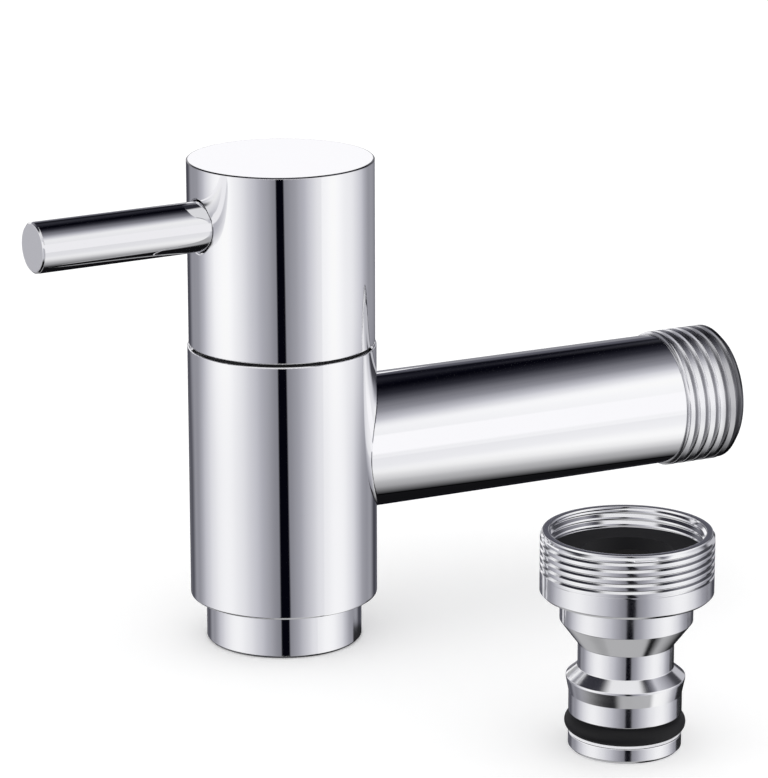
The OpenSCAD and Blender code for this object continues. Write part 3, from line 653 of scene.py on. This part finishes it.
def room_up_and_down(tree, ray):
    """The room overhead and underfoot."""
    step = math_node(tree, "SUBTRACT", smaller(tree, ray.y, USER_Y_LIMIT), USER_Y)
    step = product(tree, step, USER_WEIGHT, smooth_step(tree, ray.height, *USER_FADE))
    place = math_node(tree, "ADD", ray.x, step)
    overhead = grey_ramp(tree, place, OVERHEAD)
    underfoot = grey_ramp(tree, place, UNDERFOOT, FLOOR_CAST)
    upright = smooth_step(tree, ray.height, *UPRIGHT)
    ceiling = product(tree, smooth_step(tree, ray.y, *CEILING_Y),
                      smooth_step(tree, ray.x, *CEILING_X))
    overhead = mix(tree, larger(tree, ceiling, upright), overhead, CEILING_COLOUR)
    beside = larger(tree, smooth_step(tree, ray.y, *GROUND_USER_Y),
                    smooth_step(tree, ray.x, *GROUND_CAMERA_X))
    ground = product(tree, smooth_step(tree, ray.y, *GROUND_WALL_Y), beside)
    underfoot = mix(tree, larger(tree, ground, upright), underfoot, GROUND_COLOUR)
    return mix(tree, smooth_step(tree, ray.z, *UP_AND_DOWN), underfoot, overhead)


def white_sweep(tree, ray):
    """Where the sweep shows, and its colour."""
    low = product(tree, smooth_step(tree, ray.degrees, *SWEEP_LOW_LEFT),
                  smooth_step(tree, ray.degrees, *SWEEP_LOW_RIGHT),
                  smooth_step(tree, ray.z, *SWEEP_LOW_Z))
    band = product(tree, larger(tree, smooth_step(tree, ray.z, *SWEEP_BOTTOM_Z), low),
                   smooth_step(tree, ray.z, *SWEEP_TOP_Z))
    ahead = smooth_step(tree, ray.away, *reversed(BEHIND_DEGREES))
    strip = product(tree, smooth_step(tree, ray.degrees, *STRIP_DEGREES),
                    smooth_step(tree, ray.z, *STRIP_BOTTOM_Z),
                    smooth_step(tree, ray.z, *STRIP_TOP_Z))
    colour = mix(tree, smooth_step(tree, ray.degrees, *SWEEP_RIGHT), SWEEP_COLOUR,
                 SWEEP_RIGHT_COLOUR)
    return product(tree, band, larger(tree, ahead, strip)), colour


def build_world():
    world = bpy.data.worlds.new("studio")
    world.use_nodes = True
    bpy.context.scene.world = world
    tree = world.node_tree
    tree.nodes.clear()
    ray = ray_direction(tree)
    room = mix(tree, smooth_step(tree, ray.height, *BAND_EDGE), room_around(tree, ray),
               room_up_and_down(tree, ray))
    shown, colour = white_sweep(tree, ray)
    room = mix(tree, shown, room, colour)
    rays = tree.nodes.new("ShaderNodeLightPath").outputs
    mirrored = larger(tree, rays["Is Glossy Ray"], rays["Is Transmission Ray"])
    background = tree.nodes.new("ShaderNodeBackground")
    out = tree.nodes.new("ShaderNodeOutputWorld")
    tree.links.new(mix(tree, mirrored, WHITE, room), background.inputs["Color"])
    tree.links.new(background.outputs[0], out.inputs["Surface"])


def build_camera():
    azimuth = math.radians(CAMERA_AZIMUTH)
    elevation = math.radians(CAMERA_ELEVATION)
    back = Vector((
        math.sin(azimuth) * math.cos(elevation),
        -math.cos(azimuth) * math.cos(elevation),
        math.sin(elevation),
    ))
    data = bpy.data.cameras.new("camera")
    data.lens = CAMERA_LENS
    data.sensor_width = SENSOR
    data.clip_start = CAMERA_CLIP
    camera = bpy.data.objects.new("camera", data)
    camera.location = CAMERA_TARGET + back * CAMERA_DISTANCE
    level = back.to_track_quat("Z", "Y")
    roll = Quaternion((0, 0, 1), math.radians(CAMERA_ROLL))
    camera.rotation_euler = (level @ roll).to_euler()
    bpy.context.scene.collection.objects.link(camera)
    bpy.context.scene.camera = camera


def build_floor():
    mesh = bpy.data.meshes.new("floor")
    corners = [(x * FLOOR_HALF, y * FLOOR_HALF, 0) for x, y in ((-1, -1), (1, -1), (1, 1), (-1, 1))]
    mesh.from_pydata(corners, [], [(0, 1, 2, 3)])
    floor = bpy.data.objects.new("floor", mesh)
    bpy.context.scene.collection.objects.link(floor)
    mesh.materials.append(stage_floor())
    floor.visible_glossy = False


# Meshes

def link_piece(name, bm, material, body, replaced, kept=frozenset()):
    """Turns a bmesh into a piece of the model that stands in for a node. The faces in kept already
    point the right way and aren't welded."""
    turned = [v for v in bm.verts if not any(f in kept for f in v.link_faces)]
    bmesh.ops.remove_doubles(bm, verts=turned, dist=WELD)
    turned_edges = [e for e in bm.edges if not any(f in kept for f in e.link_faces)]
    bmesh.ops.dissolve_degenerate(bm, edges=turned_edges, dist=WELD)
    bmesh.ops.recalc_face_normals(bm, faces=[f for f in bm.faces if f not in kept])
    mesh = bpy.data.meshes.new(name)
    bm.to_mesh(mesh)
    bm.free()
    mesh.shade_smooth()
    mesh.set_sharp_from_angle(angle=math.radians(SHARP_ANGLE))
    mesh.materials.append(material)
    piece = bpy.data.objects.new(name, mesh)
    bpy.context.scene.collection.objects.link(piece)
    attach(piece, body)
    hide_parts(replaced)
    return piece


def rounded(points, radius):
    """An outline's points with each inner corner turned into a small arc. Nearly straight corners
    stay."""
    out = [points[0]]
    for before, corner, after in zip(points, points[1:], points[2:]):
        p, a, b = Vector(corner), Vector(before), Vector(after)
        towards_a, towards_b = (a - p).normalized(), (b - p).normalized()
        half = towards_a.angle(towards_b) / 2
        if half > STRAIGHT:
            out.append(corner)
            continue
        reach = min(radius / math.tan(half), (a - p).length * ARC_SHARE,
                    (b - p).length * ARC_SHARE)
        start, end = p + towards_a * reach, p + towards_b * reach
        for step in range(ARC_STEPS + 1):
            t = step / ARC_STEPS
            out.append(tuple(start * (1 - t) ** 2 + p * 2 * t * (1 - t) + end * t ** 2))
    out.append(points[-1])
    return out


def guarded(points, gap):
    """The outline with a point just inside both ends of its long stretches, which keeps their
    shading straight."""
    out = [points[0]]
    for before, after in zip(points, points[1:]):
        a, b = Vector(before), Vector(after)
        if (b - a).length > LONG_STRETCH * gap:
            step = (b - a).normalized() * gap
            out += [tuple(a + step), tuple(b - step)]
        out.append(after)
    return out


def around_axis(i):
    """The cosine and sine of the step i round an axis."""
    angle = 2 * math.pi * (i % SEGMENTS) / SEGMENTS
    return math.cos(angle), math.sin(angle)


def join_rings(bm, rings):
    for low, high in zip(rings, rings[1:]):
        for i in range(SEGMENTS):
            k = (i + 1) % SEGMENTS
            bm.faces.new((low[i], low[k], high[k], high[i]))


def lathe(bm, outline, place):
    """Turns an outline of (radius, height) round an axis; place maps (x, y, height) into the frame.
    Returns the last ring's vertices."""
    rings = []
    for r, h in outline:
        turns = (around_axis(i) for i in range(SEGMENTS))
        rings.append([bm.verts.new(place(r * x, r * y, h)) for x, y in turns])
    join_rings(bm, rings)
    return rings[-1]


def ring_edges(bm, ring):
    return [bm.edges.get((a, b)) for a, b in zip(ring, ring[1:] + ring[:1])]


def thread_form(pitch, depth, crest_flat, root_flat, edge):
    """One pitch of a thread from one crest's middle to the next, as (place, depth below it)."""
    flank = (pitch - crest_flat - root_flat) / 2
    half = crest_flat / 2
    return rounded([
        (0, 0), (half, 0), (half + flank, depth), (half + flank + root_flat, depth),
        (pitch - half, 0), (pitch, 0),
    ], edge)


def finer(form, longest):
    """The same form with its long stretches divided."""
    out = [form[0]]
    for (z0, d0), (z1, d1) in zip(form, form[1:]):
        steps = max(1, math.ceil(math.hypot(z1 - z0, d1 - d0) / longest))
        for k in range(1, steps + 1):
            out.append((z0 + (z1 - z0) * k / steps, d0 + (d1 - d0) * k / steps))
    return out


def thread(bm, place, pitch, crest, form, z0, z1, limit, phase=0.0, run_in=None):
    """A helical thread from z0 to z1. A negative depth in form cuts it into a bore. limit(z) gives
    the lowest and highest radius there, and has to close on one radius at each end, so that the
    thread meets a turned outline. phase shifts the thread along its axis, in pitches. run_in is the
    radius that it grows out of and the length over which it does."""
    # Beyond both ends the turns are clamped flat, and link_piece welds them away
    turns = math.ceil((z1 - z0) / pitch) + EXTRA_TURNS
    start = z0 - (EXTRA_TURNS / 2 - phase) * pitch
    columns = []
    for i in range(turns * SEGMENTS + 1):
        x, y = around_axis(i)
        base = start + pitch * i / SEGMENTS
        column = []
        for along, depth in form:
            z = min(z1, max(z0, base + along))
            low, high = limit(z)
            r = min(high, max(low, crest - depth))
            if run_in:
                grown = min(1.0, (z - z0) / run_in[1])
                r = run_in[0] + (r - run_in[0]) * grown * grown * (3 - 2 * grown)
            column.append(bm.verts.new(place(r * x, r * y, z)))
        columns.append(column)
    for first, second in zip(columns, columns[1:]):
        for j in range(len(form) - 1):
            bm.faces.new((first[j], second[j], second[j + 1], first[j + 1]))


def build_inlet_pipe(chrome):
    """The pipe with its thread. The solid's spigot, coped end and floor stay, and its walls and
    thread are turned anew, for their shine."""
    axis_z = (PIPE_BOX[0].z + PIPE_BOX[1].z) / 2
    end_y = PIPE_BOX[1].y
    start_y = end_y - INLET_THREAD_L
    crest = (PIPE_BOX[1].x - PIPE_BOX[0].x) / 2
    root = crest - INLET_DEPTH
    end_r = crest - INLET_END_STEP
    body_r = (BODY_BOX[1].x - BODY_BOX[0].x) / 2
    floor_y = body_r + PIPE_FLOOR_T
    coped_r = body_r + SEAT_FIT
    # Tolerances that tell the solid's faces apart
    fine, coarse, tilt = 0.004 * MM, 0.01 * MM, 0.2

    def place(x, y, h):
        return Vector((x, h, axis_z - y))

    def radius(vert):
        return math.hypot(vert.co.x, vert.co.z - axis_z)

    def renewed(face):
        """Whether the face is of the outer wall, the bore's wall or the threaded end."""
        radii = [radius(v) for v in face.verts]
        along_pipe = abs(face.normal.y) < tilt
        outer = min(radii) > PIPE_R - fine and face.normal.y > -tilt
        centre = face.calc_center_median()
        on_body = abs(math.hypot(centre.x, centre.y) - coped_r) < 2 * coarse
        coping = on_body and not along_pipe
        bore = along_pipe and max(abs(r - PIPE_BORE_R) for r in radii) < fine
        past_thread = min(v.co.y for v in face.verts) > start_y - coarse
        return (outer and not coping) or bore or past_thread

    bm = bmesh.new()
    bm.from_mesh(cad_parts["inlet_pipe"].data)
    bmesh.ops.delete(bm, geom=[f for f in bm.faces if renewed(f)], context="FACES")
    kept = set(bm.faces)

    def rim(rim_r):
        """The kept faces' open edges at that radius."""
        return [e for e in bm.edges if e.is_boundary and abs(radius(e.verts[0]) - rim_r) < coarse]

    outer_rim, bore_rim = rim(PIPE_R), rim(PIPE_BORE_R)
    # The wall runs from the coped end to the thread, and its first ring joins the solid's rim
    wall = [[], [], [], []]
    for i in range(SEGMENTS):
        x, y = (PIPE_R * part for part in around_axis(i))
        coped = math.sqrt(coped_r ** 2 - x ** 2)
        rings_at = (coped + PIPE_GUARD / 2, coped + PIPE_GUARD, start_y - PIPE_GUARD, start_y)
        for ring, along in zip(wall, rings_at):
            ring.append(bm.verts.new(place(x, y, along)))
    join_rings(bm, wall)

    def limit(y):
        """The thread runs out over the chamfer at its end."""
        high = min(crest, end_r + (end_y - y))
        return min(root, high), high

    form = thread_form(INLET_PITCH, INLET_DEPTH, INLET_CREST_FLAT, INLET_ROOT_FLAT, INLET_EDGE)
    thread(bm, place, INLET_PITCH, crest, finer(form, INLET_STEP), start_y, end_y, limit,
           INLET_PHASE, (PIPE_R, INLET_RUN_IN))
    end_and_bore = rounded([(end_r, end_y), (PIPE_BORE_R, end_y),
                            (PIPE_BORE_R, floor_y + PIPE_GUARD)], INLET_END_EDGE)
    bore_ring = lathe(bm, end_and_bore + [(PIPE_BORE_R, floor_y + PIPE_GUARD / 2)], place)
    bmesh.ops.bridge_loops(bm, edges=outer_rim + ring_edges(bm, wall[0]))
    bmesh.ops.bridge_loops(bm, edges=bore_rim + ring_edges(bm, bore_ring))
    return link_piece("inlet_pipe_threaded", bm, chrome, "tap_body", "inlet_pipe",
                      kept)


def build_adapter(metal):
    """The hose adapter with its two threads."""
    low, high = ADAPTER_BOX
    centre = (low + high) / 2
    collar_r = (high.x - low.x) / 2
    top = high.z - low.z
    floor_z = WASHER_BOX[0].z - low.z
    relief_top = WASHER_BOX[1].z - low.z + 2 * SEAT_FIT
    relief_r = (WASHER_BOX[1].x - WASHER_BOX[0].x) / 2 + SEAT_FIT
    thread_low = top - COLLAR_THREAD_L
    thread_top = top - RIM
    rim_r = collar_r - RIM
    mouth_r = SOCKET_R + RIM

    def place(x, y, h):
        return Vector((centre.x + x, centre.y + y, low.z + h))

    # Outline from the bore's upper end, round the tip and up to the start of the collar's thread
    outline = [
        (NIPPLE_BORE_R, floor_z), (NIPPLE_BORE_R, 0), (NIPPLE_R - ADAPTER_CHAMFER, 0),
        (NIPPLE_R, ADAPTER_CHAMFER), (NIPPLE_R, GROOVE_Z[0]), (GROOVE_R, GROOVE_Z[0]),
        (GROOVE_R, GROOVE_Z[1]), (NIPPLE_R, GROOVE_Z[1]), (NIPPLE_R, SHAFT_TOP),
        (RIDGE_R, RIDGE_Z[0]), (RIDGE_R, RIDGE_Z[1]), (NECK_R, NECK_Z[0]), (NECK_R, NECK_Z[1]),
        (SHOULDER_R, CONE_TOP), (SHOULDER_R, COLLAR_Z), (collar_r - ADAPTER_CHAMFER, COLLAR_Z),
        (collar_r, COLLAR_Z + ADAPTER_CHAMFER), (collar_r, thread_low),
    ]
    bm = bmesh.new()
    lathe(bm, guarded(rounded(outline, ADAPTER_EDGE), ADAPTER_GUARD), place)

    def outside(z):
        high_r = min(collar_r, rim_r + (thread_top - z) * RIM_RUN_OUT)
        low_r = max(collar_r - COLLAR_DEPTH, collar_r - (z - thread_low) * RUN_OUT,
                    rim_r - (thread_top - z) * RUN_OUT)
        return min(low_r, high_r), high_r

    form = thread_form(ADAPTER_PITCH, COLLAR_DEPTH, *COLLAR_FORM)
    thread(bm, place, ADAPTER_PITCH, collar_r, form, thread_low, thread_top, outside)
    rim = [(rim_r, thread_top), (rim_r, top), (mouth_r, top), (mouth_r, thread_top)]
    lathe(bm, rounded(rim, RIM_EDGE), place)

    def inside(z):
        reach = min(z - relief_top, thread_top - z)
        if reach <= SNAP:
            return mouth_r, mouth_r
        return SOCKET_R, min(relief_r, mouth_r + reach * RUN_OUT)

    form = thread_form(ADAPTER_PITCH, SOCKET_R - relief_r, *SOCKET_FORM)
    thread(bm, place, ADAPTER_PITCH, SOCKET_R, form, relief_top, thread_top, inside, phase=0.5)
    lathe(bm, [(mouth_r, relief_top), (relief_r, relief_top), (relief_r, floor_z),
               (NIPPLE_BORE_R, floor_z)], place)
    return link_piece("adapter_body_threaded", bm, metal, "hose_adapter",
                      "adapter_body")


def dress(material, *nodes):
    for node in nodes:
        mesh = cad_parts[node].data
        mesh.materials.clear()
        mesh.materials.append(material)


build_camera()
build_world()
build_floor()

dress(polished_chrome("polished_chrome", edge_shade_zones),
      "valve_body", "handle_shell", "aerator_housing")
dress(polished_chrome("lever_chrome", lever_zones, LEVER_CHROME, LEVER_ROUNDING), "lever")
pipe_chrome = polished_chrome("pipe_chrome", thread_zones, rounding=0)
dress(pipe_chrome, "inlet_pipe")
adapter_metal = turned_metal("turned_chrome", colour=(0.95, 0.95, 0.955), roughness=(0.09, 0.15),
                             step=0.22, depth=0.0006 * MM, zones=waterway_shade_zones)
dress(adapter_metal, "adapter_body")
brass = turned_metal("machined_brass", colour=(0.83, 0.66, 0.34), roughness=(0.18, 0.28),
                     step=0.3, depth=0.002 * MM)
dress(brass, "cartridge_housing", "spindle")
steel = turned_metal("stainless", colour=(0.70, 0.70, 0.71), roughness=(0.20, 0.30),
                     step=0.2, depth=0.001 * MM)
dress(steel, "aerator_strainer", "grub_screw", "circlip")
rubber = moulded("black_rubber", colour=(0.005, 0.005, 0.006), roughness=0.50, specular=0.25)
dress(rubber, "aerator_washer", "cartridge_flange_seal", "seat_seal", "spindle_seals",
      "adapter_washer", "adapter_seal")
nylon = moulded("black_nylon", colour=(0.012, 0.012, 0.014), roughness=0.40, specular=0.3)
dress(nylon, "glide_ring")
white_acetal = moulded("white_acetal", colour=(0.80, 0.80, 0.78), roughness=0.32)
dress(white_acetal, "aerator_core", "thrust_washer")
grey_acetal = moulded("grey_acetal", colour=(0.50, 0.51, 0.52), roughness=0.30)
dress(grey_acetal, "aerator_grid")
dress(lapped_ceramic("alumina"), "fixed_disc", "moving_disc")

build_inlet_pipe(pipe_chrome)
threaded_adapter = build_adapter(adapter_metal)
# In the photograph the adapter stands apart, and the tap doesn't mirror it
for piece in (threaded_adapter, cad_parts["adapter_washer"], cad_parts["adapter_seal"]):
    piece.visible_glossy = False

bpy.context.scene.view_settings.view_transform = "Standard"
